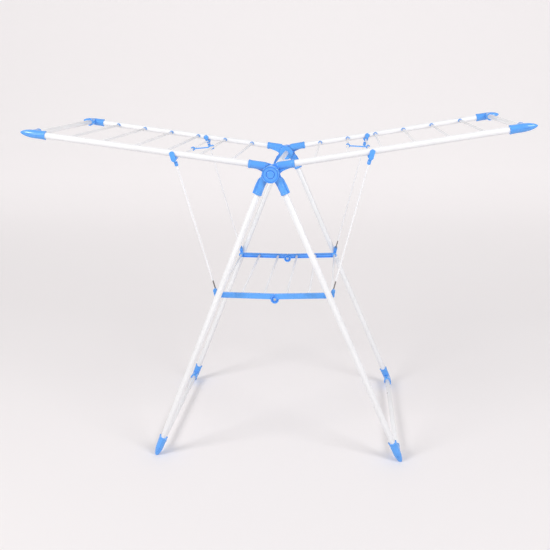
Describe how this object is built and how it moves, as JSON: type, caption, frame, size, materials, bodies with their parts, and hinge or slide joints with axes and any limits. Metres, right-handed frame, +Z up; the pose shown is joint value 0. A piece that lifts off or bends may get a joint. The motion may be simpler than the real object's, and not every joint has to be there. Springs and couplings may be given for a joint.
{
  "type": "clothes drying rack",
  "caption": "Free-standing folding airer: crossed legs, two raised wings with rungs, propping struts and a lower rod shelf on one axle.",
  "frame": {"origin": "on the floor under the middle of the axle, in the middle of the bounding box's bottom", "axes": "+X from wing to wing, +Y along the axle away from the picture's near side, +Z up"},
  "size_m": [1.4794, 0.64, 1.0319],
  "materials": {
    "white_tube": "white powder coat on round steel tube",
    "white_rung": "white powder coat on thin steel tube",
    "white_axle": "white coated axle, modelled solid",
    "white_strut_wire": "white coated steel wire, bare at the foot",
    "white_shelf_rod": "white coated steel rod",
    "blue_plastic": "glossy sky-blue moulded plastic"
  },
  "bodies": {
    "left_leg_frame": {"hub_axle": "white_axle", "left_leg_hub_arm_near": "blue_plastic", "left_leg_hub_arm_far": "blue_plastic", "left_leg_tube_near": "white_tube", "left_leg_tube_far": "white_tube", "left_leg_foot_near": "blue_plastic", "left_leg_foot_far": "blue_plastic", "left_leg_bracket_near": "blue_plastic", "left_leg_bracket_far": "blue_plastic", "left_leg_floor_tube": "white_tube"},
    "right_leg_frame": {"right_leg_hub_arm_near": "blue_plastic", "right_leg_hub_arm_far": "blue_plastic", "right_leg_tube_near": "white_tube", "right_leg_tube_far": "white_tube", "right_leg_foot_near": "blue_plastic", "right_leg_foot_far": "blue_plastic", "right_leg_bracket_near": "blue_plastic", "right_leg_bracket_far": "blue_plastic", "right_leg_floor_tube": "white_tube"},
    "left_wing": {"left_wing_hub_arm_near": "blue_plastic", "left_wing_hub_arm_far": "blue_plastic", "left_wing_tube_near": "white_tube", "left_wing_tube_far": "white_tube", "left_wing_corner_near": "blue_plastic", "left_wing_corner_far": "blue_plastic", "left_wing_clip_near": "blue_plastic", "left_wing_clip_far": "blue_plastic", "left_wing_end_tube": "white_tube", "left_wing_rung_1": "white_rung", "left_wing_rung_2": "white_rung", "left_wing_rung_3": "white_rung", "left_wing_rung_4": "white_rung", "left_wing_rung_5": "white_rung", "left_wing_rung_6": "white_rung"},
    "left_strut_frame": {"left_strut": "white_strut_wire"},
    "left_link": {"left_lock_link": "blue_plastic"},
    "left_shelf_half": {"left_shelf_bar_near": "blue_plastic", "left_shelf_bar_far": "blue_plastic", "left_shelf_rods": "white_shelf_rod"},
    "right_wing": {"right_wing_hub_arm_near": "blue_plastic", "right_wing_hub_arm_far": "blue_plastic", "right_wing_tube_near": "white_tube", "right_wing_tube_far": "white_tube", "right_wing_corner_near": "blue_plastic", "right_wing_corner_far": "blue_plastic", "right_wing_clip_near": "blue_plastic", "right_wing_clip_far": "blue_plastic", "right_wing_end_tube": "white_tube", "right_wing_rung_1": "white_rung", "right_wing_rung_2": "white_rung", "right_wing_rung_3": "white_rung", "right_wing_rung_4": "white_rung", "right_wing_rung_5": "white_rung", "right_wing_rung_6": "white_rung"},
    "right_strut_frame": {"right_strut": "white_strut_wire"},
    "right_link": {"right_lock_link": "blue_plastic"},
    "right_shelf_half": {"right_shelf_bar_near": "blue_plastic", "right_shelf_bar_far": "blue_plastic", "right_shelf_rods": "white_shelf_rod"}
  },
  "joints": [
    {"name": "leg_fold", "type": "hinge", "parent": "left_leg_frame", "child": "right_leg_frame", "pos_m": [0, 0, 0.9], "axis": [0, 1, 0], "range_deg": [0, 44]},
    {"name": "left_wing_fold", "type": "hinge", "parent": "left_leg_frame", "child": "left_wing", "pos_m": [0, 0, 0.9], "axis": [0, -1, 0], "range_deg": [0, 71]},
    {"name": "left_strut_swing", "type": "hinge", "parent": "left_leg_frame", "child": "left_strut_frame", "pos_m": [-0.178, 0, 0.548], "axis": [0, -1, 0], "range_deg": [0, 142]},
    {"name": "left_link_release", "type": "hinge", "parent": "left_wing", "child": "left_link", "pos_m": [-0.2192, 0, 0.94916], "axis": [0, 1, 0], "range_deg": [0, 70]},
    {"name": "right_wing_fold", "type": "hinge", "parent": "right_leg_frame", "child": "right_wing", "pos_m": [0, 0, 0.9], "axis": [0, 1, 0], "range_deg": [0, 71]},
    {"name": "right_strut_swing", "type": "hinge", "parent": "right_leg_frame", "child": "right_strut_frame", "pos_m": [0.178, 0, 0.548], "axis": [0, 1, 0], "range_deg": [0, 142]},
    {"name": "right_link_release", "type": "hinge", "parent": "right_wing", "child": "right_link", "pos_m": [0.2192, 0, 0.94916], "axis": [0, -1, 0], "range_deg": [0, 70]},
    {"name": "shelf_leg_fold", "type": "hinge", "parent": "left_leg_frame", "child": "left_shelf_half", "pos_m": [-0.173, 0, 0.526], "axis": [0, -1, 0], "range_deg": [0, 65.59]},
    {"name": "shelf_middle_fold", "type": "hinge", "parent": "left_shelf_half", "child": "right_shelf_half", "pos_m": [0, 0, 0.513], "axis": [0, 1, 0], "range_deg": [0, 175.17]}
  ],
  "couplings": [
    {"joint": "left_strut_swing", "follows": "left_wing_fold", "ratio": 2},
    {"joint": "right_strut_swing", "follows": "right_wing_fold", "ratio": 2},
    {"joint": "shelf_leg_fold", "follows": "leg_fold", "ratio": 1.4904},
    {"joint": "shelf_middle_fold", "follows": "leg_fold", "ratio": 3.9808}
  ]
}
